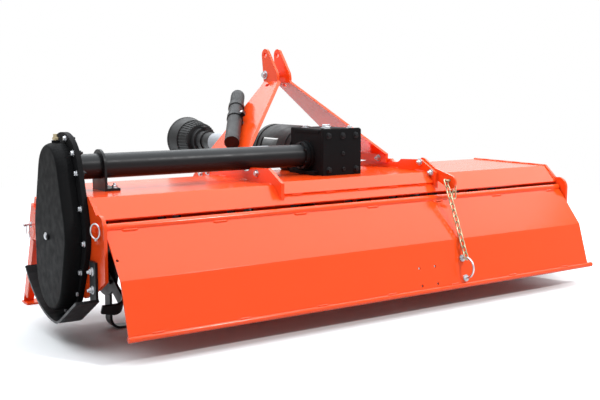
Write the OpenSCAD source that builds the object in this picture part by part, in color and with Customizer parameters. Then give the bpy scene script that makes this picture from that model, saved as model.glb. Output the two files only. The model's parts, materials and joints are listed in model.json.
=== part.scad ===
// Rotary tiller for a three-point hitch, gear driven at its left end, parked on its tines and two stands.
// Machine frame in millimetres: +X to the machine's right, +Y forward, +Z up, floor at z = 0.
// Inside the modules y = 0 is the rotor's axis; in_frame() moves the middle of the machine to the origin.

/* [Body] */
// Clear width between the side plates
body_w = 1910; // [1700:10:2100]
// Thickness of each side plate
side_t = 10; // [8:0.5:12]
// Gap between the tines' blades and the deck's sheet
tip_gap = 19; // [16:1:28]
// Thickness of the deck sheet
deck_t = 6; // [4:0.5:8]
// How far the deck's flat top reaches behind the rotor axis
deck_rear_y = 178; // [165:1:190]
// How far the deck's flat top reaches in front of the rotor axis
deck_front_y = 215; // [205:1:225]
// Drop of the deck's rear slope below the flat top
deck_rear_drop = 58; // [50:1:60]
// Drop of the deck's front slope below the flat top
deck_front_drop = 62; // [50:1:64]
// Height of the front skirt below the front slope
skirt_h = 113; // [100:1:118]
// Thickness of the stiffening plate between the hitch plates
stiffener_t = 8; // [5:0.5:10]

/* [Rotor] */
// Radius to the flat of the tines' blades, two of which stand on the floor
rotor_r = 210; // [200:1:212]
// Radius of the rotor tube
rotor_tube_r = 38; // [34:1:44]
// Number of tine flanges
flange_count = 8; // [6:1:9]
// Distance of the end flanges from the side plates
flange_margin = 105; // [100:1:130]
// Radius of a tine flange
flange_r = 98; // [90:1:105]
// Thickness of a tine flange
flange_t = 10; // [8:1:12]
// Width of a tine's bar
tine_w = 40; // [34:1:46]
// Thickness of a tine's bar
tine_t = 8; // [6:0.5:9]
// Length of a tine's flat blade beyond its bend
tine_blade = 42; // [36:1:46]
// Radius of the bend to the middle of the bar
tine_bend_r = 34; // [28:1:38]
// Radius of the journals that carry the rotor
journal_r = 30; // [26:1:34]

/* [Tailgate] */
// Distance of the hinge axis behind the rotor axis
hinge_y = 250; // [246:1:256]
// Drop of the hinge axis below the deck's top
hinge_drop = 81; // [77:1:87]
// Outer radius of the hinge tube
hinge_tube_r = 12.5; // [12:0.5:14]
// Radius of the hinge pins
hinge_pin_r = 9; // [7:0.5:10]
// Distance of the bend behind the rotor axis
gate_bend_y = 362; // [350:1:375]
// Rise of the bend above the rotor axis
gate_bend_rise = 20; // [5:1:35]
// Distance of the lower edge behind the rotor axis
gate_low_y = 410; // [395:1:420]
// Height of the lower edge
gate_low_z = 76; // [60:1:95]
// Thickness of the panel
gate_t = 5; // [4:0.5:6]
// Radius of the rod along the lower edge
gate_rod_r = 9; // [7:0.5:11]
// Sideways place of the bail that takes the chain
bail_x = 310; // [280:1:320]
// Radius of the bail's half ring, to the middle of its wire
bail_r = 35; // [30:1:35]
// Radius of the bail's wire
bail_wire_r = 3.75; // [3.5:0.05:4]
// Number of chain links between the bracket and the bail
chain_links = 13; // [11:2:15]
// Diameter of the chain's wire
chain_wire = 5.5; // [5:0.1:6]
// Links of spare chain that hang from the bracket
spare_links = 3; // [2:1:4]

/* [Hitch] */
// Distance of each hitch plate's middle from the centre line
hitch_x = 330.5; // [315:0.5:345]
// Thickness of a hitch plate
hitch_t = 12; // [10:0.5:14]
// Distance of the lower hitch pins in front of the rotor axis
pin_y = 363; // [355:1:375]
// Drop of the lower hitch pins below the deck's top
pin_drop = 37; // [31:1:43]
// Radius of the lower hitch pins
pin_r = 11; // [9:0.5:14]
// Length of the lower hitch pins outside their plates
pin_len = 73; // [65:1:85]
// Distance of the top link hole in front of the rotor axis
mast_hole_y = 364; // [355:1:375]
// Rise of the top link hole above the deck's top
mast_rise = 436.5; // [415:0.5:455]
// Radius of the top link hole
mast_hole_r = 10; // [9:0.1:12.5]
// Clear width between the mast's top plates
mast_gap = 45; // [44:1:60]
// Thickness of a mast leg
mast_t = 10; // [8:0.5:12]
// Rise of the bend where the legs splay above the deck's top
mast_bend_rise = 335; // [320:1:345]

/* [Drive] */
// Rise of the drive tube, the gearbox shafts and the driveline above the deck's top
drive_rise = 75; // [71:1:85]
// Radius of the drive tube
drive_tube_r = 39; // [35:0.5:44]
// Width of the gearbox housing
gearbox_w = 164; // [150:1:180]
// Rise of the gearbox's top above the deck's top
gearbox_rise = 170; // [160:1:185]
// Distance of the gearbox's rear cover behind the rotor axis
gearbox_rear = 100; // [90:1:110]
// Distance of the gearbox's front face in front of the rotor axis
gearbox_front = 105; // [95:1:115]
// Radius of the driveline's shafts
shaft_r = 17.5; // [15:0.5:19]
// Radius of the driveline's inner tube
inner_tube_r = 24; // [22:0.5:26]
// Outer radius of the rear guard tube
guard_r = 36; // [33:0.5:40]
// Thickness of the guards' plastic
guard_t = 3; // [2.5:0.1:4]
// Distance of the driveline's front lip in front of the rotor axis
driveline_y = 1108; // [1080:4:1200]

/* [Gear case] */
// Thickness of the gear case's flange
case_flange_t = 16; // [12:1:18]
// Width of the flange outside the cover
case_rim = 30; // [24:1:34]
// Depth of the cover outside the flange
case_depth = 49; // [40:1:55]
// Inset of the cover's outer face from its foot
case_draft = 12; // [8:1:16]

/* [Skids and stands] */
// Outer distance of the skids from the centre line, beyond the side plates
skid_w = 70; // [66:1:80]
// Gap between the gear case and a skid's sheet
skid_gap = 10; // [6:1:12]
// Thickness of a skid's sheet
skid_t = 8; // [6:0.5:9]
// Distance of the stands' feet in front of the rotor axis
stand_y = 486; // [482:1:500]
// Backward lean of the stands
stand_lean = 23.5; // [22:0.5:25]
// Width of each flange of a stand's angle bar
stand_w = 36; // [32:1:38]
// Thickness of a stand's angle bar
stand_t = 5; // [4:0.5:6]
// Length of a stand's angle bar
stand_len = 425; // [410:1:450]
// Radius of a stand's locking pin
lock_pin_r = 6; // [5:0.5:8]

/* [Manual holder] */
// Radius of the canister
canister_r = 27; // [24:0.5:30]
// Length of the canister with its cap
canister_len = 345; // [300:5:360]
// Turn of the canister from the mast leg's slope
canister_turn = 47; // [40:1:55]

/* [Hidden] */
$fn = 48;

paint = [0.93, 0.28, 0.11];
black = [0.10, 0.10, 0.11];
plastic = [0.07, 0.07, 0.08];
zinc = [0.74, 0.75, 0.77];
brass = [0.78, 0.62, 0.30];

// Clearances: a turning fit, a fixed fit and the side play of the tailgate
turn_fit = 0.05;
fixed_fit = 0.1;
gate_play = 5;
slide_fit = 0.5;
link_gap = 0.3;
bail_play = 0.9;

side_in = body_w / 2;
side_out = side_in + side_t;
skid_out = side_out + skid_w;
rotor_z = rotor_r;
deck_z = rotor_z + rotor_r + tip_gap + deck_t;
drive_z = deck_z + drive_rise;
gearbox_top = deck_z + gearbox_rise;
hinge_z = deck_z - hinge_drop;
gate_bend_z = rotor_z + gate_bend_rise;
pin_z = deck_z - pin_drop;
mast_hole_z = deck_z + mast_rise;
mast_bend_z = deck_z + mast_bend_rise;
deck_slope_y = 1.06;
deck_rear = [-deck_rear_y - deck_rear_drop * deck_slope_y, deck_z - deck_rear_drop];
deck_front_run = 1.21;
deck_front = [deck_front_y + deck_front_drop * deck_front_run, deck_z - deck_front_drop];
deck_skirt = deck_front - [15, skirt_h];
deck_line = [deck_skirt, deck_front, [deck_front_y, deck_z], [-deck_rear_y, deck_z], deck_rear];
stiffener_z = deck_z + stiffener_t;
stiffener_lap = 48;

hinge = [-hinge_y, hinge_z];
gate_bend = [-gate_bend_y, gate_bend_z];
gate_low = [-gate_low_y, gate_low_z];
gate_half = side_in - gate_play;
gate_down = unit(gate_low - gate_bend);
gate_out = [gate_down.y, -gate_down.x];

// The bail stands on the lower panel's outer face
bail_leg = 14;
bail_mid = gate_bend + gate_down * 103 + gate_out * gate_t;
bail_tip = bail_mid + gate_out * (bail_leg + bail_r + bail_wire_r);

pin_inner = hitch_x + hitch_t / 2;
hitch_in = hitch_x - hitch_t / 2;
mast_out = mast_gap / 2 + mast_t;
mast_bend = [325, mast_bend_z + 10];
mast_bend_r = 50;
mast_tab_z = deck_z + 60;
mast_bolt_at = [363, mast_bend_z + 26];
mast_bolt_r = 8;

chain_bar_r = (10 + chain_wire) / 2;
bracket_t = 8;
bracket_slot = [-282, deck_z - 17];

// The chain runs straight from the link in the bracket's slot to the bail
slot_half = 16;
bail_turn = 15;
bail_grip = bail_mid + gate_out * (bail_leg + bail_r * sin(bail_turn)) - gate_down * bail_r * cos(bail_turn);
chain_hook = [pin_inner + bracket_t / 2, bracket_slot.x, bracket_slot.y];
chain_from = chain_hook - [slot_half, 0, 0];
chain_run = [bail_x, bail_grip.x, bail_grip.y] - chain_from;
chain_u = unit(chain_run);
chain_w = unit(cross(chain_u, [1, 0, 0]));
chain_v = cross(chain_w, chain_u);

gearbox_half = gearbox_w / 2;
cover_t = 12;
cap_t = 18;
foot_h = 14;
cap_r = drive_z - stiffener_z - foot_h - 2;
shield_r = 97;
shield_len = 245;
tube_end = -gearbox_half - cap_t;

// Rounds of the gear case's outer face: place, radius and width of the flange round it
case_rounds = [[-18, drive_z - 18, 85, case_rim], [-18, rotor_z + 125, 133, case_rim], [0, rotor_z, 112, 10]];
case_top = case_rounds[0].y + case_rounds[0].z + case_draft + case_rim;
case_x = side_out + case_flange_t;
skid_z = rotor_z - case_rounds[2].z - case_draft - case_rounds[2][3] - skid_gap - skid_t;

socket_wall = 6;
socket_low = 277;
socket_len = 120;
stand_x = side_out - stand_w / 2 - 5;
foot_t = 6;

middle_y = (driveline_y + bail_tip.x) / 2;

function unit(v) = v / norm(v);
function left_of(v) = [-v.y, v.x];
function edge_normal(p, i) = left_of(unit(p[i + 1] - p[i]));
function moved(p, i, t) =
    i == 0 ? p[0] + t * edge_normal(p, 0) :
    i == len(p) - 1 ? p[i] + t * edge_normal(p, i - 1) :
    let (a = edge_normal(p, i - 1), b = edge_normal(p, i)) p[i] + t * (a + b) / (1 + a * b);
// Outline of a bent sheet: its first face follows p, its other face lies t to the left
function sheet(p, t) = concat(p, [for (i = [len(p) - 1:-1:0]) moved(p, i, t)]);

module in_frame() translate([0, -middle_y, 0]) children();

// Extrude an outline drawn in Y and Z from x0 to x1
module along_x(x0, x1) translate([x0, 0, 0]) rotate([90, 0, 90]) linear_extrude(x1 - x0) children();

// Extrude an outline drawn in X and Z from y0 to y1
module along_y(y0, y1) translate([0, y1, 0]) rotate([90, 0, 0]) linear_extrude(y1 - y0) children();

module rod_x(x0, x1, at, r) translate([x0, at.x, at.y]) rotate([0, 90, 0]) cylinder(h = x1 - x0, r = r);

module rod_y(y0, y1, at, r) translate([at.x, y0, at.y]) rotate([-90, 0, 0]) cylinder(h = y1 - y0, r = r);

// A round tapered shell along Y, from radius ra at y0 to rb at y1, about the driveline's axis
module bell_y(y0, y1, ra, rb) translate([0, y0, drive_z]) rotate([-90, 0, 0])
    cylinder(h = y1 - y0, r1 = ra, r2 = rb);

// The area between two circles' common tangents
module tangents(a, ra, b, rb) {
    l = norm(b - a);
    u = (b - a) / l;
    s = (ra - rb) / l;
    c = sqrt(1 - s * s);
    n1 = s * u + c * left_of(u);
    n2 = s * u - c * left_of(u);
    polygon([a + ra * n1, a + ra * n2, b + rb * n2, b + rb * n1]);
}

// Two circles and the tangents that join them
module belt(a, ra, b, rb) {
    translate(a) circle(ra);
    translate(b) circle(rb);
    tangents(a, ra, b, rb);
}

module on_left(left) mirror([left ? 1 : 0, 0, 0]) children();

// Body: deck, stiffening plate and side plates

module deck_shell() color(paint) in_frame()
    along_x(-side_in, side_in) polygon(sheet(deck_line, deck_t));

module deck_stiffener() color(paint) in_frame() {
    slope = unit(deck_rear - [-deck_rear_y, deck_z]);
    line = [[-deck_rear_y, deck_z] + slope * stiffener_lap, [-deck_rear_y, deck_z], [deck_front_y - 20, deck_z]];
    along_x(-hitch_in + slide_fit, hitch_in - slide_fit) polygon(sheet(line, stiffener_t));
}

side_top = deck_z + 4;
module side_outline() {
    difference() {
        union() {
            polygon([[-hinge_y - 40, rotor_z + 6], [-232, rotor_z - 27], [-130, rotor_z - 70],
                [150, rotor_z - 70], [255, rotor_z - 20], [288, rotor_z + 30],
                [288, deck_front.y + 6], [deck_front_y + 5, side_top], [-deck_rear_y, side_top],
                [deck_rear.x - 12, deck_rear.y], [-hinge_y - 40, hinge_z]]);
            translate(hinge) circle(40);
        }
        translate([0, rotor_z]) circle(60);
        translate(hinge) circle(hinge_pin_r + fixed_fit);
    }
}

module side_plate(left) color(paint) in_frame() on_left(left)
    along_x(side_in, side_out) side_outline();

// Hitch: plates, pins and mast

module hitch_outline() {
    slope = (deck_rear - [-deck_rear_y, deck_z]) / deck_rear_drop;
    rear = [-227, deck_z + slope.y * (227 - deck_rear_y) / -slope.x];
    nose = [pin_y, pin_z];
    nose_r = 32;
    front_drop = deck_z - nose.y + nose_r;
    difference() {
        union() {
            translate(nose) circle(nose_r + 2);
            polygon([rear, [-deck_rear_y, deck_z], [deck_front_y, deck_z],
                [deck_front_y + front_drop * deck_front_run, pin_z - nose_r],
                [pin_y + 20, pin_z - 26], [pin_y + 20, pin_z + 26], [110, deck_z + 38],
                [-147, deck_z + 51], [-227, deck_z + 9]]);
        }
        translate(nose) circle(pin_r + fixed_fit);
        translate([0, drive_z]) circle(drive_tube_r + 5);
    }
}

module hitch_plate(left) color(paint) in_frame() on_left(left)
    along_x(hitch_in, pin_inner) hitch_outline();

module hitch_pin(left) color(zinc) in_frame() on_left(left) {
    at = [pin_y, pin_z];
    difference() {
        union() {
            rod_x(hitch_in - 20, pin_inner + pin_len, at, pin_r);
            rod_x(pin_inner, pin_inner + 8, at, pin_r + 8);
            translate([hitch_in - 16, pin_y, pin_z]) rotate([0, 90, 0]) cylinder(h = 16, r = 19, $fn = 6);
        }
        translate([pin_inner + pin_len - 13, pin_y, pin_z - 30]) cylinder(h = 60, r = 5.75);
    }
}

module mast_outline() difference() {
    union() {
        belt([mast_hole_y, mast_hole_z], 24, mast_bend, mast_bend_r);
        polygon([[44, mast_tab_z - 33], [312, mast_tab_z - 33], [318, mast_tab_z],
            [mast_bend.x + 47, mast_bend.y - 3], [mast_bend.x - 47, mast_bend.y - 3], [44, mast_tab_z]]);
    }
    translate([mast_hole_y, mast_hole_z]) circle(mast_hole_r);
    translate(mast_bolt_at) circle(mast_bolt_r + fixed_fit);
    translate([mast_bend.x - 12, mast_bend_z - 18]) square([24, 9]);
}

module mast_leg(left) color(paint) in_frame() on_left(left) intersection() {
    along_y(0, 450) polygon(sheet([[mast_out, mast_hole_z + 60], [mast_out, mast_bend_z],
        [hitch_in, mast_tab_z], [hitch_in, deck_z]], -mast_t));
    along_x(0, hitch_x) mast_outline();
}

module mast_bolt() color(zinc) in_frame() {
    rod_x(-mast_out - 14, mast_out + 16, mast_bolt_at, mast_bolt_r);
    rod_x(-mast_gap / 2, mast_gap / 2, mast_bolt_at, 13);
    for (x = [-mast_out - 10, mast_out])
        translate([x, mast_bolt_at.x, mast_bolt_at.y]) rotate([0, 90, 0]) cylinder(h = 10, r = 13, $fn = 6);
}

module chain_bracket() color(paint) in_frame() along_x(pin_inner, pin_inner + bracket_t) difference() {
    union() {
        belt([-141, deck_z + 41], 16, [-202, deck_z + 7], 18);
        belt([-202, deck_z + 7], 18, bracket_slot - [10, 4], 24);
    }
    slot_way = 9.5 * [chain_w.y, chain_w.z];
    belt(bracket_slot + slot_way, 4.2, bracket_slot - slot_way, 4.2);
}

// Tailgate: panel, hinge tube, rod, bail and chain

module tailgate_panel() color(paint) in_frame() difference() {
    along_x(-gate_half, gate_half) polygon(sheet([hinge, gate_bend, gate_low], -gate_t));
    rod_x(-side_in, side_in, hinge, hinge_tube_r + fixed_fit);
    rod_x(-side_in, side_in, gate_low, gate_rod_r + fixed_fit);
    for (x = [112, 182], down = [82, 142]) gate_hole(x, gate_bend + gate_down * down, gate_down);
    gate_hole(-gate_half + 9, gate_bend + (hinge - gate_bend) * 0.37, unit(gate_bend - hinge));
}

// A small bolt hole through the panel at a point of its inner face, whose slope runs along down
module gate_hole(x, p, down) in_axes([x, p.x, p.y], [1, 0, 0], [0, down.x, down.y])
    translate([0, 0, -20]) cylinder(h = 40, r = 4.5, $fn = 24);

module tailgate_tube() color(paint) in_frame() difference() {
    rod_x(-gate_half, gate_half, hinge, hinge_tube_r);
    rod_x(-side_in, side_in, hinge, hinge_pin_r + turn_fit);
}

module tailgate_rod() color(paint) in_frame() rod_x(-gate_half, gate_half + 24, gate_low, gate_rod_r);

// Draw in a frame whose X is u, Y is v and Z their normal, at a point
module in_axes(at, u, v) {
    w = cross(u, v);
    multmatrix([[u.x, v.x, w.x, at.x], [u.y, v.y, w.y, at.y], [u.z, v.z, w.z, at.z]]) children();
}

module tailgate_bail() color(zinc) in_frame()
    in_axes([bail_x, bail_mid.x, bail_mid.y], [0, gate_out.x, gate_out.y], [0, gate_down.x, gate_down.y]) {
        translate([bail_leg, 0, 0]) rotate([0, 0, -90]) rotate_extrude(angle = 180)
            translate([bail_r, 0]) circle(bail_wire_r, $fn = 24);
        for (side = [-1, 1]) translate([0, side * bail_r, 0]) rotate([0, 90, 0]) {
            cylinder(h = bail_leg, r = bail_wire_r, $fn = 24);
            cylinder(h = 4, r = 12);
        }
    }

// A chain link along its X axis, from its first bar to its second one, flat in its XY plane
module chain_link(bars) {
    straight = bars - 2 * chain_bar_r;
    for (end = [0, 1]) translate([end * straight + chain_bar_r, 0, 0]) rotate([0, 0, 90 - 180 * end])
        rotate_extrude(angle = 180) translate([chain_bar_r, 0]) circle(chain_wire / 2, $fn = 16);
    for (side = [-1, 1]) translate([chain_bar_r, side * chain_bar_r, 0]) rotate([0, 90, 0])
        cylinder(h = straight, r = chain_wire / 2, $fn = 16);
}

// The link in the bracket's slot lies across it; the run hangs from its inner end, the spare from its outer
module tailgate_chain() color(brass) in_frame() {
    nest = chain_wire + link_gap;
    pitch = (norm(chain_run) + bail_wire_r + bail_play + chain_wire / 2 + link_gap) / chain_links;
    slot_down = unit([0, chain_u.y, chain_u.z]);
    spare_from = chain_hook + [slot_half, 0, 0] - nest * slot_down;
    in_axes(chain_from, [1, 0, 0], -chain_w) chain_link(2 * slot_half);
    for (i = [0:chain_links - 1])
        in_axes(chain_from + chain_u * (i * pitch - nest), chain_u, i % 2 == 0 ? chain_v : chain_w)
            chain_link(pitch + nest);
    in_axes(spare_from, slot_down, [1, 0, 0]) chain_link(pitch + nest);
    for (i = [1:spare_links - 1])
        in_axes(spare_from + slot_down * (pitch + nest) - [0, 0, (i - 1) * pitch - nest], [0, 0, -1],
            i % 2 == 0 ? [1, 0, 0] : [0, 1, 0]) chain_link(pitch + nest);
}

module hinge_pin(left) color(paint) in_frame() on_left(left) {
    rod_x(side_in - 45, side_out + 16, hinge, hinge_pin_r);
    rod_x(side_out, side_out + 5, hinge, hinge_pin_r + 6);
}

// Drive: gearbox, driveline, drive tube and gear case

module gearbox_housing() color(black) in_frame() difference() {
    union() {
        along_y(-gearbox_rear + cover_t, gearbox_front) belt_block(gearbox_half, stiffener_z, gearbox_top, 6);
        rod_y(gearbox_front, gearbox_front + 45, [0, drive_z], 56);
        along_y(-gearbox_rear + 30, gearbox_front - 20)
            translate([-gearbox_half - 20, stiffener_z]) square([2 * gearbox_half + 40, foot_h]);
    }
    rod_y(gearbox_front, gearbox_front + 50, [0, drive_z], shaft_r + turn_fit);
}

// A rectangle with rounded upper corners
module belt_block(half, z0, z1, r) {
    translate([-half, z0]) square([2 * half, z1 - z0 - r]);
    translate([-half + r, z0]) square([2 * (half - r), z1 - z0]);
    for (x = [-half + r, half - r]) translate([x, z1 - r]) circle(r);
}

module gearbox_cover() color(black) in_frame()
    along_y(-gearbox_rear, -gearbox_rear + cover_t) belt_block(gearbox_half, stiffener_z, gearbox_top, 6);

module gearbox_cap(left) color(black) in_frame() on_left(left) {
    rod_x(gearbox_half, gearbox_half + 12, [0, drive_z], cap_r);
    rod_x(gearbox_half + 12, gearbox_half + cap_t, [0, drive_z], cap_r - 6);
}

// A round hood with open sides and a grooved front rim
module pto_shield() color(plastic) in_frame() {
    y0 = gearbox_front;
    difference() {
        union() {
            rod_y(y0, y0 + shield_len - 20, [0, drive_z], shield_r - 3);
            rod_y(y0 + 30, y0 + shield_len - 40, [0, drive_z], shield_r);
            rod_y(y0 + shield_len - 20, y0 + shield_len, [0, drive_z], shield_r);
        }
        rod_y(y0 + 4, y0 + shield_len + 1, [0, drive_z], shield_r - 6);
        rod_y(y0 - 1, y0 + 5, [0, drive_z], 56 + fixed_fit);
        translate([-200, y0 - 1, stiffener_z - 100]) cube([400, shield_len + 2, 100]);
        for (side = [0, 1]) mirror([side, 0, 0])
            translate([shield_r - 35, y0 + 85, stiffener_z - 1]) cube([100, shield_len - 135, 118]);
    }
}

guard_bell_y = gearbox_front + 105;
guard_tube_y = guard_bell_y + 120;
guard_front_y = driveline_y - 560;
guard_front_r = guard_r + guard_t + 0.3;
bell_r = 100;
collar_y = driveline_y - 215;
dome_y = driveline_y - 75;

module guard_ring(y) difference() {
    rod_y(y, y + 14, [0, drive_z], guard_r - guard_t);
    rod_y(y - 1, y + 15, [0, drive_z], inner_tube_r + link_gap);
}

module driveline_guard_rear() color(plastic) in_frame() {
    difference() {
        union() {
            bell_y(guard_bell_y, guard_tube_y, 66, guard_r);
            rod_y(guard_tube_y, guard_front_y + 160, [0, drive_z], guard_r);
        }
        bell_y(guard_bell_y - 1, guard_tube_y, 66 - guard_t, guard_r - guard_t);
        rod_y(guard_tube_y - 1, guard_front_y + 161, [0, drive_z], guard_r - guard_t);
    }
    guard_ring(guard_tube_y);
}

// The front bell: a tube, two steps, a ribbed cone and a dome
module driveline_guard_front() color(plastic) in_frame() {
    cone_y = collar_y + 70;
    difference() {
        union() {
            rod_y(guard_front_y, collar_y, [0, drive_z], guard_front_r);
            rod_y(collar_y, collar_y + 40, [0, drive_z], guard_front_r + 6);
            rod_y(collar_y + 40, cone_y, [0, drive_z], guard_front_r + 16);
            bell_y(cone_y, dome_y, bell_r - 28, bell_r - 17);
            bell_y(dome_y, driveline_y, bell_r - 12, bell_r);
        }
        rod_y(guard_front_y - 1, cone_y + 5, [0, drive_z], guard_r + 0.3);
        bell_y(cone_y + guard_t, dome_y + guard_t + 1, bell_r - 28 - guard_t, bell_r - 17 - guard_t);
        bell_y(dome_y + guard_t, driveline_y + 0.1, bell_r - 12 - guard_t, bell_r - guard_t);
    }
    difference() {
        rod_y(collar_y, collar_y + 14, [0, drive_z], guard_r + 0.3);
        rod_y(collar_y - 1, collar_y + 15, [0, drive_z], inner_tube_r + link_gap);
    }
}

yoke_y = driveline_y - 100;

module driveline_shaft() color(black) in_frame() difference() {
    union() {
        rod_y(gearbox_front + 8, gearbox_front + 90, [0, drive_z], shaft_r);
        rod_y(gearbox_front + 60, gearbox_front + 100, [0, drive_z], 30);
        fork(gearbox_front + 100);
        rod_y(gearbox_front + 150, gearbox_front + 190, [0, drive_z], 30);
        rod_y(gearbox_front + 190, yoke_y, [0, drive_z], inner_tube_r);
        fork(yoke_y - 10);
        rod_y(yoke_y + 40, driveline_y - 12, [0, drive_z], 28);
    }
    rod_y(yoke_y + 55, driveline_y, [0, drive_z], shaft_r);
}

// Two pairs of yoke arms with their cross between them
module fork(y) {
    for (side = [-1, 1]) {
        translate([side * 24 - 6, y, drive_z - 15]) cube([12, 35, 30]);
        translate([-15, y + 15, drive_z + side * 24 - 6]) cube([30, 35, 12]);
    }
    rod_x(-34, 34, [y + 25, drive_z], 11);
    translate([0, y + 25, drive_z - 34]) cylinder(h = 68, r = 11);
    translate([-29, y - 4, drive_z - 14]) cube([58, 8, 28]);
    translate([-14, y + 46, drive_z - 29]) cube([28, 8, 58]);
}

module drive_tube() color(black) in_frame() {
    rod_x(-side_out, tube_end, [0, drive_z], drive_tube_r);
    rod_x(tube_end - 12, tube_end, [0, drive_z], cap_r - 3);
    rod_x(-side_out, -side_out + 14, [0, drive_z], 58);
}

module tube_bracket() color(black) in_frame() {
    x0 = -side_in + 92;
    difference() {
        union() {
            along_x(x0, x0 + 8) belt([0, drive_z], 52, [0, deck_z + 52], 52);
            translate([x0, -52, deck_z]) cube([50, 104, 8]);
            translate([x0, -52, deck_z]) cube([8, 104, 52]);
        }
        rod_x(x0 - 1, x0 + 9, [0, drive_z], drive_tube_r + fixed_fit);
    }
}

// The sides start this far inside the rounds, so that they cross them cleanly
blend = 0.1;
module case_outline() {
    for (c = case_rounds) translate([c.x, c.y]) circle(c.z + case_draft + c[3]);
    for (i = [0, 1]) {
        a = case_rounds[i];
        b = case_rounds[i + 1];
        tangents([a.x, a.y], a.z + case_draft + a[3] - blend, [b.x, b.y], b.z + case_draft + b[3] - blend);
    }
}

module gearcase_flange() color(black) in_frame() difference() {
    along_x(-case_x, -side_out) case_outline();
    rod_x(-case_x - 1, -side_out + 1, [0, rotor_z], journal_r + turn_fit);
}

// The cover's edge is rounded in steps; a boss on its top takes the breather
case_boss_x = case_x + 20;
case_boss_z = case_rounds[0].y + case_rounds[0].z + case_draft + 6;
module gearcase_cover() color(black) in_frame() {
    hull() for (c = case_rounds, t = [0:18:90]) translate([-case_x, c.x, c.y]) rotate([0, -90, 0])
        cylinder(h = case_depth * (0.45 + 0.55 * sin(t)), r = c.z + case_draft * cos(t));
    translate([-case_boss_x, case_rounds[0].x, drive_z]) cylinder(h = case_boss_z - drive_z, r = 12);
}

module gearcase_breather() color(brass) in_frame()
    translate([-case_boss_x, case_rounds[0].x, case_boss_z + fixed_fit]) {
        cylinder(h = 8, r = 6);
        translate([0, 0, 2]) cylinder(h = 7, r = 10, $fn = 6);
        translate([0, 0, 7]) cylinder(h = 12, r = 7);
    }

module bearing_hub() color(black) in_frame() difference() {
    union() {
        rod_x(side_out, side_out + 14, [0, rotor_z], 88);
        rod_x(side_out, side_out + 44, [0, rotor_z], 56);
    }
    rod_x(side_out - 1, side_out + 34, [0, rotor_z], journal_r + turn_fit);
}

// Skids and stands

// Lower face of a runner: a long curve in front, a short one behind it and a straight tail
runner_mid = -50;
runner_r = 355;
tail_r = 110;
tail_turn = 30;
tail_foot = [runner_mid - tail_r * sin(tail_turn), skid_z + tail_r * (1 - cos(tail_turn))];
tail_end = tail_foot - [137, -137 * tan(tail_turn)];
function runner_z(y) = y > runner_mid ?
    skid_z + runner_r - sqrt(runner_r * runner_r - pow(y - runner_mid, 2)) :
    tail_foot.y + (tail_foot.x - y) * tan(tail_turn);

module skid(left) color(black) in_frame() on_left(left) {
    front = [for (a = [50:-5:0]) [runner_mid + runner_r * sin(a), skid_z + runner_r * (1 - cos(a))]];
    rear = [for (a = [7.5:7.5:tail_turn]) [runner_mid - tail_r * sin(a), skid_z + tail_r * (1 - cos(a))]];
    along_x(side_out, skid_out) polygon(sheet(concat(front, rear, [tail_end]), -skid_t));
    strap(-236, -190, rotor_z + 55);
    strap(170, 214, rotor_z + 90);
}

// An upright strap from a runner up to height z
module strap(y0, y1, z) along_x(side_out, side_out + skid_t) polygon([
    [y0, runner_z(y0) + skid_t / 2], [y1, runner_z(y1) + skid_t / 2], [y1, z], [y0, z]]);

// Draw in a stand's own frame: its foot at the origin, its bar along Z
module stand_axes(left) on_left(left)
    translate([stand_x, stand_y, 0]) rotate([stand_lean, 0, 0]) children();

// An angle bar with flanges in front and outside; the outside one ends above the foot
module stand_leg(left) color(paint) in_frame() {
    difference() {
        stand_axes(left) difference() {
            translate([-stand_w / 2, -stand_w / 2, -20]) linear_extrude(stand_len + 20) difference() {
                square(stand_w);
                translate([-1, -1]) square(stand_w - stand_t + 1);
            }
            translate([-stand_w, -stand_w, -21]) cube([2 * stand_w, 1.5 * stand_w - stand_t, 55]);
        }
        translate([-2000, 0, -100]) cube([4000, 800, 100 + foot_t / 2]);
    }
    on_left(left) translate([stand_x - 42, stand_y - 34, 0]) cube([44 + stand_w / 2, 64, foot_t]);
}

// Distance of the socket's rear wall in front of the rotor axis at a height
function socket_rear(z) = stand_y - z * tan(stand_lean)
    - (stand_w / 2 + slide_fit + socket_wall / 2) / cos(stand_lean);

module stand_socket(left) color(paint) in_frame() difference() {
    union() {
        stand_axes(left) translate([0, 0, socket_low]) linear_extrude(socket_len) difference() {
            square(stand_w + 2 * slide_fit + 2 * socket_wall, center = true);
            square(stand_w + 2 * slide_fit, center = true);
        }
        on_left(left) along_x(side_out, side_out + 8)
            polygon([[250, 256], [socket_rear(256), 256], [socket_rear(345), 345], [250, 345]]);
    }
    stand_axes(left) translate([0, 0, socket_low + 50]) rotate([0, 90, 0])
        cylinder(h = 60, r = lock_pin_r + fixed_fit);
}

module stand_pin(left) color(zinc) in_frame() stand_axes(left)
    translate([stand_w / 2 + slide_fit, 0, socket_low + 50]) rotate([0, 90, 0]) {
        cylinder(h = 34, r = lock_pin_r);
        translate([0, 0, socket_wall]) cylinder(h = 4, r = lock_pin_r + 4);
    }

// Rotor: tube, flanges and journals, then the tines that lie against the flanges

flange_step = (body_w - 2 * flange_margin) / (flange_count - 1);
flange_xs = [for (i = [0:flange_count - 1]) -side_in + flange_margin + i * flange_step];
tines_per_side = 3;
tine_pitch = 360 / tines_per_side;
tine_shift = 15;
tine_shank = rotor_r - tine_bend_r - tine_t / 2;
tine_root = rotor_tube_r + tine_w / 2 + 5;

module rotor_shaft() color(black) in_frame() {
    rod_x(-side_in + 24, side_in - 24, [0, rotor_z], rotor_tube_r);
    rod_x(-side_out - 11, side_out + 30, [0, rotor_z], journal_r);
    for (x = flange_xs) rod_x(x - flange_t / 2, x + flange_t / 2, [0, rotor_z], flange_r);
}

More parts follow.
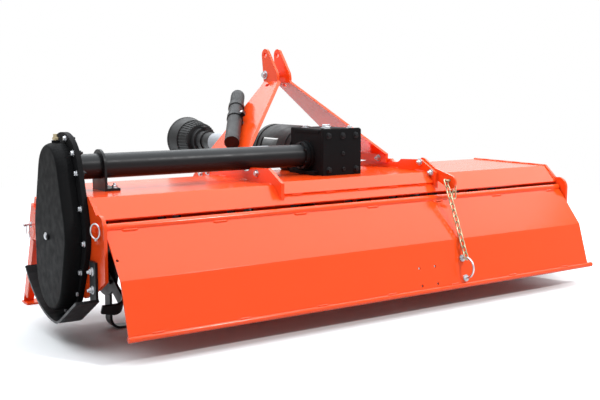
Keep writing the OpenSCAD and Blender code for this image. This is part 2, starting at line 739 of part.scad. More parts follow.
// A tine on a flange's face at x = 0: its bar points along +Z and its blade bends to +X
module tine() {
    bend_x = tine_bend_r + tine_t / 2;
    translate([0, 0, tine_root]) rotate([0, 90, 0]) cylinder(h = tine_t, r = tine_w / 2);
    translate([0, -tine_w / 2, tine_root]) cube([tine_t, tine_w, tine_shank - tine_root]);
    translate([bend_x, tine_w / 2, tine_shank]) rotate([90, 0, 0]) rotate([0, 0, 90])
        rotate_extrude(angle = 90) translate([tine_bend_r - tine_t / 2, 0]) square([tine_t, tine_w]);
    translate([bend_x, 0, tine_shank + tine_bend_r - tine_t / 2]) linear_extrude(tine_t)
        polygon([[0, -tine_w / 2], [tine_blade, -tine_w / 5], [tine_blade, tine_w / 2], [0, tine_w / 2]]);
}

module rotor_tines() color(black) in_frame() for (i = [0:flange_count - 1]) {
    half = (flange_count - 1) / 2;
    turn = 180 + tine_shift * (half - abs(i - half));
    translate([flange_xs[i], 0, rotor_z]) for (k = [0:tines_per_side - 1], side = [0, 1])
        rotate([turn + k * tine_pitch + side * tine_pitch / 2, 0, 0]) mirror([side, 0, 0])
            translate([flange_t / 2, 0, 0]) tine();
}

// Manual holder on the outer face of the left mast leg

leg_down = unit([mast_out - hitch_in, 0, mast_tab_z - mast_bend_z]);
leg_out = [leg_down.z, 0, -leg_down.x];
canister_x = 201;
canister_at = [-canister_x, 267, mast_bend_z + (canister_x - mast_out) * leg_down.z / -leg_down.x];
canister_u = leg_down * cos(canister_turn) - [0, sin(canister_turn), 0];
canister_stand = canister_r + 6;
cap_len = 105;

// Draw along the canister's axis: X down it, Z away from the leg's face
module canister_axes() in_axes(canister_at, canister_u, cross(leg_out, canister_u)) children();

module manual_canister() color(plastic) in_frame() canister_axes()
    translate([-canister_len / 2, 0, canister_stand]) rotate([0, 90, 0]) {
        cylinder(h = cap_len, r = canister_r - 1.5);
        translate([0, 0, cap_len - 22]) cylinder(h = 22, r = canister_r + 3);
        translate([0, 0, cap_len]) cylinder(h = canister_len - cap_len, r = canister_r);
    }

module canister_clip() color(black) in_frame() canister_axes() difference() {
    union() {
        translate([-11, 0, canister_stand]) rotate([0, 90, 0]) cylinder(h = 22, r = canister_r + 3);
        translate([-11, -14, 0]) cube([22, 28, canister_stand]);
        translate([-9, canister_r, canister_stand - 8]) cube([18, 16, 16]);
    }
    translate([-12, 0, canister_stand]) rotate([0, 90, 0]) cylinder(h = 24, r = canister_r + fixed_fit);
}

deck_shell();
deck_stiffener();
side_plate(true);  // side_plate_left
side_plate(false);  // side_plate_right
hitch_plate(true);  // hitch_plate_left
hitch_plate(false);  // hitch_plate_right
hitch_pin(true);  // hitch_pin_left
hitch_pin(false);  // hitch_pin_right
mast_leg(true);  // mast_leg_left
mast_leg(false);  // mast_leg_right
mast_bolt();
chain_bracket();
tailgate_panel();
tailgate_tube();
tailgate_rod();
tailgate_bail();
tailgate_chain();
hinge_pin(true);  // hinge_pin_left
hinge_pin(false);  // hinge_pin_right
gearbox_housing();
gearbox_cover();
gearbox_cap(true);  // gearbox_cap_left
gearbox_cap(false);  // gearbox_cap_right
pto_shield();
driveline_guard_rear();
driveline_guard_front();
driveline_shaft();
drive_tube();
tube_bracket();
gearcase_flange();
gearcase_cover();
gearcase_breather();
bearing_hub();
skid(true);  // skid_left
skid(false);  // skid_right
rotor_shaft();
rotor_tines();
stand_leg(true);  // stand_leg_left
stand_leg(false);  // stand_leg_right
stand_socket(true);  // stand_socket_left
stand_socket(false);  // stand_socket_right
stand_pin(true);  // stand_pin_left
stand_pin(false);  // stand_pin_right
manual_canister();
canister_clip();
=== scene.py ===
"""Looks of the rotary tiller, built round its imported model."""
import json
import math
import random

import bmesh
import bpy
from mathutils import Matrix, Vector


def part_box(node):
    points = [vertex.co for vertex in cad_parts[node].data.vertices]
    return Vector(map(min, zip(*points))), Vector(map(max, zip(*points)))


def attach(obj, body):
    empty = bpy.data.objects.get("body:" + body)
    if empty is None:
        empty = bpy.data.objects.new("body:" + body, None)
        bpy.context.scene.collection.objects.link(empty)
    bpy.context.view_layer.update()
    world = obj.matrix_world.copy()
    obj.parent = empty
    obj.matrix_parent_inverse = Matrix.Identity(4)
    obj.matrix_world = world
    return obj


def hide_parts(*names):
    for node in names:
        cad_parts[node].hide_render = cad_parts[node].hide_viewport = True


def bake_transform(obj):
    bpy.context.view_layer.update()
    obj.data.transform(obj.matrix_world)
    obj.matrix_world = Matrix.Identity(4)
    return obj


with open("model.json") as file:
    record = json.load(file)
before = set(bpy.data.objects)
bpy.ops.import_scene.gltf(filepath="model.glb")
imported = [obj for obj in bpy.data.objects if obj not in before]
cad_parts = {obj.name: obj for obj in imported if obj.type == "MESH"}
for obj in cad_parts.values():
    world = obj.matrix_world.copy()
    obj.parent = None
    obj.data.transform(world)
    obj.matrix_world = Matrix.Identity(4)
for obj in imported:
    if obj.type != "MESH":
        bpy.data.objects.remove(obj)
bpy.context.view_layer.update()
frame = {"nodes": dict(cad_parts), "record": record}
random.seed(7)

nodes = frame["nodes"]
scene = bpy.context.scene
X, Y, Z = Vector((1, 0, 0)), Vector((0, 1, 0)), Vector((0, 0, 1))
SIDES = (-1, 1)

# Axes and faces of the model that small pieces sit on, in metres in the machine's frame:
# y = 0 is the rotor's axis, z = 0 is the floor, and x is given for the right side
ROTOR_Z, DRIVE_Z = 0.21, 0.52
DECK_Z, STIFFENER_Z, GEARBOX_TOP = 0.445, 0.453, 0.615
GEARBOX_REAR = -0.1
MAST_IN, HITCH_IN, HITCH_OUT, BRACKET_OUT = 0.3145, 0.3245, 0.3365, 0.3445
SIDE_IN, SIDE_OUT, STRAP_OUT, HUB_OUT = 0.955, 0.965, 0.973, 0.979
CASE_FLANGE, CASE_BOSS = 0.981, 1.03

# Bends of the deck and the tailgate as (y, z)
DECK_REAR, HINGE = (-0.178, 0.445), (-0.25, 0.364)
GATE_BEND, GATE_LOW = (-0.362, 0.23), (-0.41, 0.076)

# Heads and nuts: corner radius and height
HEAD = {"r": 0.0095, "h": 0.007}
NUT = {"r": 0.0095, "h": 0.008}
SMALL_HEAD = {"r": 0.009, "h": 0.007}
WASHER_T, THREAD_PITCH = 0.002, 0.0015
WELD_RIPPLE = 0.0035
SHARP_ANGLE = math.radians(35)

# Surfaces: scales of the noise in tone and gloss, and the depth of the grain
TONE_SCALE, GLOSS_SCALE = 9.0, 35.0
GRAIN_DEPTH = 0.0006

# The rotor's axis lies this far behind the middle of the box
shaft_low, shaft_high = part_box("rotor_shaft")
MIDDLE = -(shaft_low.y + shaft_high.y) / 2


def at(x, y, z):
    """A place in the machine's frame as a place in the row frame."""
    return Vector((x, y - MIDDLE, z))


def turns(n, start=0.0):
    """n even turns about an axis, in radians, from start in degrees."""
    return [math.radians(start) + 2 * math.pi * k / n for k in range(n)]


# Materials: procedural, one for each of the record's slots


def node(tree, kind, **sockets):
    made = tree.nodes.new(kind)
    for name, value in sockets.items():
        made.inputs[name.replace("_", " ")].default_value = value
    return made


def noise(tree, where, scale, detail=4.0):
    made = node(tree, "ShaderNodeTexNoise", Scale=scale, Detail=detail)
    tree.links.new(where.outputs["Object"], made.inputs["Vector"])
    return made.outputs["Fac"]


def ranged(tree, value, low, high):
    """Spreads the middle of a noise from low to high."""
    made = node(tree, "ShaderNodeMapRange", From_Min=0.3, From_Max=0.7, To_Min=low, To_Max=high)
    tree.links.new(value, made.inputs["Value"])
    return made.outputs["Result"]


def color_between(tree, factor, first, second):
    made = tree.nodes.new("ShaderNodeMix")
    made.data_type = "RGBA"
    made.inputs["A"].default_value = (*first, 1)
    made.inputs["B"].default_value = (*second, 1)
    tree.links.new(factor, made.inputs["Factor"])
    return made.outputs["Result"]


def finish_of(name, color, rough, metal=0.0, grain=0.1, grain_scale=900.0, patch=0.08, edge=0.0015,
              specular=0.5):
    """A painted, cast, moulded or plated surface: uneven tone and gloss, a fine grain, soft edges."""
    made = bpy.data.materials.new(name)
    made.use_nodes = True
    tree = made.node_tree
    surface = tree.nodes["Principled BSDF"]
    where = tree.nodes.new("ShaderNodeTexCoord")
    dark = [c * (1 - patch) for c in color]
    light = [min(1, c * (1 + patch)) for c in color]
    tone = color_between(tree, noise(tree, where, TONE_SCALE), dark, light)
    tree.links.new(tone, surface.inputs["Base Color"])
    gloss = ranged(tree, noise(tree, where, GLOSS_SCALE), rough * 0.85, rough * 1.2)
    tree.links.new(gloss, surface.inputs["Roughness"])
    surface.inputs["Metallic"].default_value = metal
    surface.inputs["Specular IOR Level"].default_value = specular
    soft = node(tree, "ShaderNodeBevel", Radius=edge)
    soft.samples = 4
    bump = node(tree, "ShaderNodeBump", Strength=grain, Distance=GRAIN_DEPTH)
    tree.links.new(noise(tree, where, grain_scale, 2.0), bump.inputs["Height"])
    tree.links.new(soft.outputs["Normal"], bump.inputs["Normal"])
    tree.links.new(bump.outputs["Normal"], surface.inputs["Normal"])
    return made


FINISHES = {
    "orange_paint": dict(color=(0.93, 0.075, 0.009), rough=0.16, grain=0.04, grain_scale=420.0,
                         patch=0.03, specular=0.28),
    "black_paint": dict(color=(0.008, 0.0085, 0.0095), rough=0.36, grain_scale=700.0, specular=0.18),
    "black_cast": dict(color=(0.0095, 0.0095, 0.010), rough=0.5, grain=0.3, grain_scale=520.0,
                       edge=0.004, specular=0.03),
    "black_plastic": dict(color=(0.009, 0.009, 0.0095), rough=0.45, grain=0.2, grain_scale=1400.0,
                          specular=0.3),
    "zinc_steel": dict(color=(0.5, 0.51, 0.53), rough=0.34, metal=1.0, grain=0.06, edge=0.0008),
    "yellow_zinc": dict(color=(0.43, 0.36, 0.23), rough=0.33, metal=1.0, grain=0.08, patch=0.25,
                        edge=0.0006),
}
MATERIALS = {slot: finish_of(slot, **look) for slot, look in FINISHES.items()}
BLANK = finish_of("blank_label", (0.33, 0.34, 0.36), 0.5, grain=0.05, patch=0.04, edge=0.0003)

for row in frame["record"]["subparts"]:
    mesh = nodes[row["node"]].data
    mesh.materials.clear()
    mesh.materials.append(MATERIALS[row["material_slot"]])


# Shapes: small pieces are collected by name and made into one mesh each

piles = {}


def pile(name, slot, body="frame"):
    if name not in piles:
        piles[name] = (bmesh.new(), slot, body)
    return piles[name][0]


def mesh_of(name, bm):
    mesh = bpy.data.meshes.new(name)
    bm.to_mesh(mesh)
    bm.free()
    mesh.shade_smooth()
    return mesh


def show(name, mesh, material):
    mesh.materials.append(material)
    made = bpy.data.objects.new(name, mesh)
    scene.collection.objects.link(made)
    return made


def axes_of(axis):
    w = Vector(axis).normalized()
    u = w.orthogonal().normalized()
    return u, w.cross(u), w


def lathe(bm, p, axis, profile, n=24):
    """Turns a profile of (radius, height) pairs about an axis through p."""
    u, v, w = axes_of(axis)
    rings = []
    for r, h in profile:
        c = p + w * h
        if r < 1e-6:
            rings.append([bm.verts.new(c)])
        else:
            rings.append([bm.verts.new(c + u * (r * math.cos(t)) + v * (r * math.sin(t))) for t in turns(n)])
    for a, b in zip(rings, rings[1:]):
        for k in range(n):
            j = (k + 1) % n
            if len(a) == 1:
                bm.faces.new((b[j], b[k], a[0]))
            elif len(b) == 1:
                bm.faces.new((a[k], a[j], b[0]))
            else:
                bm.faces.new((a[k], a[j], b[j], b[k]))


def sweep(bm, points, radius, n=8, closed=False):
    """A round wire through points; radius is one number or one for each point."""
    radii = radius if isinstance(radius, (list, tuple)) else [radius] * len(points)
    count = len(points)
    rings = []
    u = None
    for i, p in enumerate(points):
        ahead = points[(i + 1) % count] if closed or i < count - 1 else p
        behind = points[i - 1] if closed or i > 0 else p
        w = (ahead - behind).normalized()
        u = w.orthogonal().normalized() if u is None else (u - w * u.dot(w)).normalized()
        v = w.cross(u)
        rings.append([bm.verts.new(p + (u * math.cos(t) + v * math.sin(t)) * radii[i]) for t in turns(n)])
    pairs = list(zip(rings, rings[1:])) + ([(rings[-1], rings[0])] if closed else [])
    for a, b in pairs:
        for k in range(n):
            j = (k + 1) % n
            bm.faces.new((a[k], a[j], b[j], b[k]))
    if not closed:
        bm.faces.new(list(reversed(rings[0])))
        bm.faces.new(rings[-1])


def slab(bm, p, u, v, size):
    """A block about p: its sizes run along u, v and their normal."""
    u, v = Vector(u).normalized(), Vector(v).normalized()
    w = u.cross(v)
    turn = Matrix([(u[i], v[i], w[i], 0) for i in range(3)] + [(0, 0, 0, 1)])
    scale = Matrix.Diagonal((*size, 1))
    bmesh.ops.create_cube(bm, size=1.0, matrix=Matrix.Translation(p) @ turn @ scale)


def ring(bm, p, axis, radius, wire, n=32):
    """A closed ring of round wire about p."""
    u, v, _ = axes_of(axis)
    points = [p + (u * math.cos(t) + v * math.sin(t)) * radius for t in turns(n)]
    sweep(bm, points, wire, closed=True)


def bolt(bm, p, axis, r, h, washer=True, stud=0.0):
    """A hexagon head or nut on a washer; stud is how far a thread stands out of a nut."""
    base = WASHER_T if washer else 0.0
    top = base + h
    if washer:
        lathe(bm, p, axis, [(r * 1.35, 0), (r * 1.35, base * 0.8), (r * 1.25, base), (0, base)])
    lathe(bm, p, axis, [(r, base), (r, base + h * 0.8), (r * 0.86, top), (0, top)], n=6)
    if stud:
        threads = []
        for k in range(int(stud / THREAD_PITCH)):
            threads += [(r * 0.52, top + k * THREAD_PITCH), (r * 0.46, top + (k + 0.5) * THREAD_PITCH)]
        lathe(bm, p, axis, [(r * 0.52, top - 0.001)] + threads + [(0, top + stud)], n=12)


def bead(bm, a, b, r):
    """A weld bead from a to b: rippled, thinner at its ends."""
    steps = max(4, int((b - a).length / WELD_RIPPLE))
    points, radii = [], []
    for i in range(steps + 1):
        t = i / steps
        taper = min(1.0, 6 * min(t, 1 - t) + 0.35)
        points.append(a.lerp(b, t))
        radii.append(r * taper * (0.88 + 0.16 * (i % 2) + random.uniform(-0.05, 0.05)))
    sweep(bm, points, radii, n=7)


def bead_row(bm, line, first, pitch, count, length, r):
    """Weld beads across the machine, through the place line, from x = first."""
    for k in range(count):
        x = first + pitch * k
        bead(bm, line + X * x, line + X * (x + length), r)


def stitches(bm, a, b, length, gap, r):
    """Weld beads of a length with gaps along the line from a to b."""
    whole = (b - a).length
    way = (b - a).normalized()
    count = max(1, int((whole + gap) / (length + gap)))
    rest = (whole - count * length) / max(1, count - 1) if count > 1 else 0
    for i in range(count):
        start = a + way * (i * (length + rest))
        bead(bm, start, start + way * length, r)


def fall_of(top, foot):
    """The way down a sheet from one (y, z) to another, and its outward normal."""
    down = Vector((0, foot[0] - top[0], foot[1] - top[1])).normalized()
    return down, Vector((0, down.z, -down.y))


# Gear case: bolts round its flange and level plug, then the drive tube's hub with its nuts and gussets
FLANGE_BOLTS = [
    (-0.047, 0.611), (-0.108, 0.571), (-0.131, 0.513), (-0.157, 0.412), (-0.178, 0.312),
    (-0.143, 0.222), (-0.112, 0.152), (-0.007, 0.0835), (0.03, 0.604), (0.078, 0.555),
    (0.098, 0.49), (0.127, 0.4), (0.142, 0.315), (0.131, 0.225), (0.106, 0.142),
]
PLUG_Z = 0.314
NUTS_ABOVE, NO_WASHER_BELOW = 0.46, 0.2
HUB_PROFILE = [(0.062, 0), (0.0605, 0.006), (0.052, 0.016), (0.0455, 0.027), (0.0435, 0.034), (0.039, 0.036)]
case_bolts = pile("gearcase_bolts", "zinc_steel")
for y, z in FLANGE_BOLTS:
    bolt(case_bolts, at(-CASE_FLANGE, y, z), -X, r=0.0072, h=0.006, washer=z > NO_WASHER_BELOW)
bolt(case_bolts, at(-CASE_BOSS, 0.014, PLUG_Z), -X, r=0.0085, h=0.0028)
hub = pile("drive_tube_hub", "black_paint")
for y, z in FLANGE_BOLTS:
    if z > NUTS_ABOVE:
        bolt(hub, at(-SIDE_OUT, y, z), X, r=0.0078, h=0.006, stud=0.006)
lathe(hub, at(0.0001 - SIDE_OUT, 0, DRIVE_Z), X, HUB_PROFILE, n=48)
for t in turns(6, 30):
    radial = Vector((0, math.cos(t), math.sin(t)))
    gusset = at(-0.95, 0, DRIVE_Z) + radial * 0.052
    slab(hub, gusset, X - radial * 0.55, radial.cross(X), (0.034, 0.006, 0.014))
rim = pile("gearcase_plug_boss", "black_cast")
lathe(rim, at(-CASE_BOSS, -0.008, PLUG_Z), -X, [(0.009, 0), (0.009, 0.0038), (0.0075, 0.0048), (0, 0.0048)])

# Gearbox: bolts and plugs of its cover and top, its lip, and bolts of the drive tube and its bracket
COVER_BOLTS = [(-0.06, 0.592), (0.001, 0.591), (0.058, 0.592), (-0.057, 0.472), (0.061, 0.472)]
COVER_PLUGS = [(0.003, 0.529), (0.006, 0.474)]
PLUG_PROFILE = [(0.0068, 0), (0.0068, 0.003), (0.0055, 0.004), (0.0035, 0.004), (0.003, 0.002), (0, 0.002)]
TOP_BOLTS = [(-0.046, -0.075), (0.05, -0.075), (-0.05, 0.06), (0.05, 0.06)]
TUBE_BOLT_R = 0.0432
cover_bolts = pile("gearbox_cover_bolts", "black_paint")
for x, z in COVER_BOLTS:
    bolt(cover_bolts, at(x, GEARBOX_REAR, z), -Y, r=0.0085, h=0.0065)
for x, z in COVER_PLUGS:
    lathe(cover_bolts, at(x, GEARBOX_REAR, z), -Y, PLUG_PROFILE, n=16)
plugs = pile("gearbox_plugs", "zinc_steel")
bolt(plugs, at(-0.012, -0.011, GEARBOX_TOP), Z, r=0.012, h=0.011)
for x, y in TOP_BOLTS:
    bolt(plugs, at(x, y, GEARBOX_TOP), Z, **SMALL_HEAD)
lip = pile("gearbox_lip", "black_cast")
slab(lip, at(0, -0.0885, GEARBOX_TOP + 0.0005), X, Y, (0.164, 0.006, 0.003))
for side in SIDES:
    slab(lip, at(side * 0.083, 0, 0.606), X, Y, (0.004, 0.15, 0.01))
tube_bolts = pile("drive_tube_bolts", "black_paint")
for t in turns(6, 30):
    place = at(-0.112, TUBE_BOLT_R * math.cos(t), DRIVE_Z + TUBE_BOLT_R * math.sin(t))
    bolt(tube_bolts, place, -X, r=0.004, h=0.004, washer=False)
for side in SIDES:
    bolt(plugs, at(-0.826, side * 0.037, DECK_Z + 0.008), Z, **SMALL_HEAD, stud=0.008)

# Hitch: bolts of the plates, mast legs and chain bracket, and washers of the mast's upper bolt
hitch_bolts = pile("hitch_bolts", "zinc_steel")
for side in SIDES:
    for y, nut_z, head_z in [(0.09, 0.486, 0.486), (0.27, 0.489, 0.452)]:
        bolt(hitch_bolts, at(side * MAST_IN, y, nut_z), -X * side, **NUT, stud=0.008)
        bolt(hitch_bolts, at(side * HITCH_OUT, y, head_z), X * side, **HEAD)
for y, z in [(0.326, 0.441), (-0.075, 0.474)]:
    bolt(hitch_bolts, at(-HITCH_OUT, y, z), -X, **SMALL_HEAD)
for y, z in [(-0.141, 0.486), (-0.202, 0.452)]:
    bolt(hitch_bolts, at(HITCH_IN, y, z), -X, **NUT, stud=0.007)
    bolt(hitch_bolts, at(BRACKET_OUT, y, z), X, **HEAD)
for side in SIDES:
    ear = at(side * 0.0325, 0.363, 0.806)
    lathe(hitch_bolts, ear, X * side, [(0.0165, 0), (0.0165, 0.0016), (0, 0.0018)])

# Welds: tailgate's hinge tube and rod, then deck's stiffener, hitch plates and ends
DECK_ENDS = [((-0.2385, 0.3885), (-0.179, 0.4455)), ((-0.177, 0.4455), (0.214, 0.4455)),
             ((0.216, 0.445), (0.288, 0.385))]
gate_welds = pile("tailgate_welds", "orange_paint", "tailgate")
down, out = fall_of(HINGE, GATE_BEND)
bead_row(gate_welds, at(0, *HINGE) + down * 0.0148 + out * 0.0052, -0.9, 0.295, 7, 0.05, 0.0042)
down, out = fall_of(GATE_BEND, GATE_LOW)
bead_row(gate_welds, at(0, *GATE_LOW) - down * 0.0088 + out * 0.0052, -0.88, 0.28, 7, 0.04, 0.0032)
deck_welds = pile("deck_welds", "orange_paint")
slope, lift = Vector((0, -1.06, -1)).normalized(), Vector((0, -0.727, 0.686)).normalized()
bead_row(deck_welds, at(0, *DECK_REAR) + slope * 0.0487 + lift * 0.001, -0.29, 0.135, 5, 0.045, 0.0045)
for side in SIDES:
    for face, top in [(HITCH_OUT, DECK_Z), (HITCH_IN, STIFFENER_Z)]:
        stitches(deck_welds, at(side * face, -0.168, top), at(side * face, 0.19, top), 0.055, 0.06, 0.0042)
    x = side * (SIDE_IN - 0.002)
    for a, b in DECK_ENDS:
        stitches(deck_welds, at(x, *a), at(x, *b), 0.05, 0.02, 0.004)

# Rings: spring rings of the hinge pins, pull rings of the stands' locking pins
STAND_Y, STAND_LEAN, LOCK_UP = 0.486, math.radians(23.5), 0.327
PULL_R = 0.0235
rings = pile("hinge_rings", "zinc_steel")
for side in SIDES:
    centre = at(side * 0.9755, -0.252, 0.359)
    ring(rings, centre, X + Y * 0.25, 0.0215, 0.0024)
    catch = centre + Vector((0, -0.004, -0.024))
    lathe(rings, catch, X, [(0, -0.004), (0.004, -0.003), (0.004, 0.003), (0, 0.004)], n=12)
for side in SIDES:
    pin_end = at(side * 0.9795, STAND_Y - LOCK_UP * math.sin(STAND_LEAN), LOCK_UP * math.cos(STAND_LEAN))
    ring(rings, pin_end - Z * PULL_R, X + Y * side * 0.1, PULL_R, 0.002)

# Skids: strap bolts
skid_bolts = pile("skid_bolts", "zinc_steel")
for side in SIDES:
    for y, z in [(-0.213, 0.236), (-0.213, 0.182), (0.192, 0.276), (0.192, 0.222)]:
        bolt(skid_bolts, at(side * STRAP_OUT, y, z), X * side, **HEAD, stud=0.008)

# Bearing hub: bolts and grease fitting
HUB_BOLT_R = 0.072
FITTING_PROFILE = [(0.004, 0), (0.004, 0.004), (0.0025, 0.005), (0.0025, 0.009), (0.0035, 0.011), (0, 0.014)]
hub_bolts = pile("hub_bolts", "zinc_steel")
for t in turns(4, 45):
    place = at(HUB_OUT, HUB_BOLT_R * math.cos(t), ROTOR_Z + HUB_BOLT_R * math.sin(t))
    bolt(hub_bolts, place, X, **SMALL_HEAD)
fitting = pile("hub_grease_fitting", "yellow_zinc")
lathe(fitting, at(0.995, 0, 0.2655), Z, FITTING_PROFILE, n=12)

# Rotor: two bolts through each tine's root, three tines on either face of a flange
FLANGES, FLANGE_MARGIN, FLANGE_TURN = 8, 0.105, math.radians(15)
TINE_FACE = 0.013
first_x, middle = FLANGE_MARGIN - SIDE_IN, (FLANGES - 1) / 2
tine_bolts = pile("tine_bolts", "black_paint", "rotor")
for i in range(FLANGES):
    flange_x = first_x - i * 2 * first_x / (FLANGES - 1)
    flange_turn = math.pi + FLANGE_TURN * (middle - abs(i - middle))
    for k in range(3):
        for side in (1, -1):
            t = flange_turn + math.radians(120 * k) + (math.radians(60) if side < 0 else 0)
            for r in (0.063, 0.085):
                place = at(flange_x + side * TINE_FACE, -math.sin(t) * r, ROTOR_Z + math.cos(t) * r)
                bolt(tine_bolts, place, X * side, r=0.0085, h=0.006, washer=False)

# Driveline guard: ribs of the cone, rings, latch, tab and a blank band
BAND_PROFILE = [(0.0394, 0), (0.0397, 0.0003), (0.0397, 0.1297), (0.0394, 0.13)]
guard = pile("driveline_guard_ribs", "black_plastic")
for t in turns(40):
    radial = Vector((math.cos(t), 0, math.sin(t)))
    along = Vector((0, 0.07, 0)) + radial * 0.011
    slab(guard, at(0, 0.998, DRIVE_Z) + radial * 0.0785, along, radial.cross(Y), (0.062, 0.0045, 0.005))
for r, y in ((0.087, 1.036), (0.0985, 1.1)):
    ring(guard, at(0, y, DRIVE_Z), Y, r, 0.0022, 48)
slab(guard, at(0, 0.935, 0.581), X, Y, (0.022, 0.036, 0.008))
slab(guard, at(-0.089, 1.088, 0.462), Vector((-0.83, 0, -0.56)), Y, (0.03, 0.03, 0.004))
band = pile("driveline_band", None)
lathe(band, at(0, 0.70, DRIVE_Z), Y, BAND_PROFILE, n=48)

# Drive tube: a blank patch on its top
PATCH_R, PATCH_ENDS = 0.0393, (-0.317, -0.247)
patch = pile("drive_tube_patch", None)
rows = []
for k in range(7):
    t = math.radians(55 + 8 * k)
    y, z = PATCH_R * math.cos(t), DRIVE_Z + PATCH_R * math.sin(t)
    rows.append([patch.verts.new(at(x, y, z)) for x in PATCH_ENDS])
for a, b in zip(rows, rows[1:]):
    patch.faces.new((a[0], a[1], b[1], b[0]))

# Manual canister, lying across the left mast leg: ribbed cap, closed end and clip screw
CANISTER_X, CANISTER_TURN = 0.201, math.radians(47)
CAP_R = 0.0255
END_PROFILE = [(CAP_R, 0), (0.0245, 0.003), (0.02, 0.006), (0.01, 0.0078), (0, 0.0082)]
leg = Vector((-0.292, 0, -0.275)).normalized()
leg_out = Vector((leg.z, 0, -leg.x))
tube = leg * math.cos(CANISTER_TURN) - Y * math.sin(CANISTER_TURN)
across = leg_out.cross(tube)
foot = at(-CANISTER_X, 0.267, 0.78 + (CANISTER_X - 0.0325) * leg.z / -leg.x)
ribs = pile("canister_ribs", "black_plastic")
cap_top = foot + leg_out * 0.033 - tube * 0.1725
for t in turns(26):
    radial = across * math.cos(t) + leg_out * math.sin(t)
    slab(ribs, cap_top + tube * 0.042 + radial * CAP_R, tube, radial.cross(tube), (0.066, 0.0028, 0.0022))
lathe(ribs, cap_top, -tube, END_PROFILE, n=32)
screw = pile("canister_screw", "zinc_steel")
screw_foot = foot + leg_out * 0.041 + across * 0.036
lathe(screw, screw_foot, leg_out, [(0.006, 0), (0.006, 0.003), (0.004, 0.0045), (0, 0.005)], n=16)

# Chain: the solid's own links, split into a run and a spare end that take the place of the imported chain
SPARE_FROM_X = 0.345
source = bmesh.new()
source.from_mesh(nodes["tailgate_chain"].data)
bmesh.ops.remove_doubles(source, verts=source.verts, dist=1e-6)
seen, links = set(), []
for start in source.verts:
    if start in seen:
        continue
    link, todo = [], [start]
    seen.add(start)
    while todo:
        v = todo.pop()
        link.append(v)
        for e in v.link_edges:
            w = e.other_vert(v)
            if w not in seen:
                seen.add(w)
                todo.append(w)
    links.append(link)


def chain_piece(name, chosen):
    copy = bmesh.new()
    for link in chosen:
        made = {v: copy.verts.new(v.co) for v in link}
        for face in {f for v in link for f in v.link_faces}:
            copy.faces.new([made[v] for v in face.verts])
    return show(name, mesh_of(name, copy), MATERIALS["yellow_zinc"])


def is_spare(link):
    return max(v.co.x for v in link) > SPARE_FROM_X


run = chain_piece("chain_run", [link for link in links if not is_spare(link)])
spare = chain_piece("chain_spare", [link for link in links if is_spare(link)])
source.free()
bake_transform(run)
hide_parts("tailgate_chain")
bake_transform(spare)

# Make the collected pieces
for name, (bm, slot, body) in piles.items():
    bmesh.ops.recalc_face_normals(bm, faces=bm.faces)
    mesh = mesh_of(name, bm)
    mesh.set_sharp_from_angle(angle=SHARP_ANGLE)
    piece = show(name, mesh, MATERIALS[slot] if slot else BLANK)
    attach(piece, body)

# Camera of the photo
azimuth, pitch = math.radians(33.71), math.radians(7.25)
level = math.cos(pitch)
look = Vector((math.sin(azimuth) * level, math.cos(azimuth) * level, -math.sin(pitch)))
camera = bpy.data.objects.new("camera", bpy.data.cameras.new("camera"))
scene.collection.objects.link(camera)
camera.location = at(-1.915, -2.702, 0.774)
camera.rotation_euler = look.to_track_quat("-Z", "Y").to_euler()
camera.data.lens = 55.08
camera.data.sensor_width = 36
scene.camera = camera

# Floor, sky and lamps: camera, glossy and transmission rays see white behind the object
FLOOR_HALF = 40
FLOOR_BOUNCE, FLOOR_SEEN = (0.4, 0.4, 0.4), (0.9, 0.9, 0.9)
FADE_FROM, FADE_TO = 1.5, 4.0
DOME_STRENGTH, WHITE_STRENGTH = 0.34, 1.0


def math_of(tree, operation, first, second, clamp=False):
    made = tree.nodes.new("ShaderNodeMath")
    made.operation = operation
    made.use_clamp = clamp
    tree.links.new(first, made.inputs[0])
    tree.links.new(second, made.inputs[1])
    return made.outputs["Value"]


def seen_directly(tree):
    path = tree.nodes.new("ShaderNodeLightPath")
    total = path.outputs["Is Camera Ray"]
    for ray in ("Is Glossy Ray", "Is Transmission Ray"):
        total = math_of(tree, "ADD", total, path.outputs[ray], clamp=True)
    return total


def mixed(tree, fac, first, second):
    made = tree.nodes.new("ShaderNodeMixShader")
    tree.links.new(fac, made.inputs["Fac"])
    tree.links.new(first, made.inputs[1])
    tree.links.new(second, made.inputs[2])
    return made.outputs["Shader"]


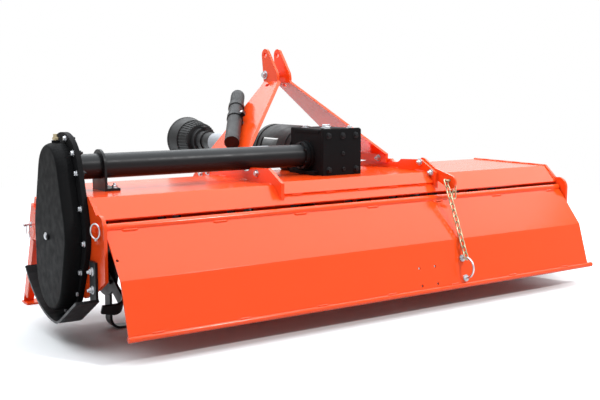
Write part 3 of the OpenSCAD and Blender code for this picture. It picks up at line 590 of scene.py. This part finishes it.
floor_paint = bpy.data.materials.new("floor")
floor_paint.use_nodes = True
ground = floor_paint.node_tree
floor_surface = ground.nodes["Principled BSDF"]
seen_floor = seen_directly(ground)
floor_color = color_between(ground, seen_floor, FLOOR_BOUNCE, FLOOR_SEEN)
ground.links.new(floor_color, floor_surface.inputs["Base Color"])
floor_surface.inputs["Roughness"].default_value = 0.9
floor_surface.inputs["Specular IOR Level"].default_value = 0.0
place = ground.nodes.new("ShaderNodeNewGeometry")
distance = ground.nodes.new("ShaderNodeVectorMath")
distance.operation = "LENGTH"
ground.links.new(place.outputs["Position"], distance.inputs[0])
fade = node(ground, "ShaderNodeMapRange", From_Min=FADE_FROM, From_Max=FADE_TO)
fade.interpolation_type = "SMOOTHSTEP"
ground.links.new(distance.outputs["Value"], fade.inputs["Value"])
whiteness = math_of(ground, "MULTIPLY", fade.outputs["Result"], seen_floor)
paper = node(ground, "ShaderNodeEmission", Color=(1, 1, 1, 1), Strength=WHITE_STRENGTH)
floor_look = mixed(ground, whiteness, floor_surface.outputs["BSDF"], paper.outputs["Emission"])
ground.links.new(floor_look, ground.nodes["Material Output"].inputs["Surface"])
floor_mesh = bpy.data.meshes.new("floor")
corners = [(-FLOOR_HALF, -FLOOR_HALF, 0), (FLOOR_HALF, -FLOOR_HALF, 0),
           (FLOOR_HALF, FLOOR_HALF, 0), (-FLOOR_HALF, FLOOR_HALF, 0)]
floor_mesh.from_pydata(corners, [], [(0, 1, 2, 3)])
floor = show("floor", floor_mesh, floor_paint)

world = bpy.data.worlds.new("sky")
scene.world = world
world.use_nodes = True
sky = world.node_tree
sky.nodes.clear()
dome = node(sky, "ShaderNodeBackground", Color=(0.96, 0.98, 1, 1), Strength=DOME_STRENGTH)
white = node(sky, "ShaderNodeBackground", Color=(1, 1, 1, 1), Strength=WHITE_STRENGTH)
sky_look = mixed(sky, seen_directly(sky), dome.outputs["Background"], white.outputs["Background"])
sky.links.new(sky_look, sky.nodes.new("ShaderNodeOutputWorld").inputs["Surface"])


def lamp(name, place, target, size, power, color=(1, 1, 1)):
    light = bpy.data.lights.new(name, "AREA")
    light.shape = "RECTANGLE"
    light.size, light.size_y = size
    light.energy = power
    light.color = color
    made = bpy.data.objects.new(name, light)
    made.location = at(*place)
    made.rotation_euler = (at(*target) - at(*place)).to_track_quat("-Z", "Y").to_euler()
    made.visible_camera = False
    scene.collection.objects.link(made)


lamp("key", (2.4, -4.2, 4.6), (0.2, -0.2, 0.3), (0.5, 0.5), 212)
lamp("overhead", (0.85, 1.1, 3.4), (0.85, 0.6, 0), (8.7, 6.6), 520, (0.91, 0.96, 1.0))
scene.view_settings.view_transform = "Standard"
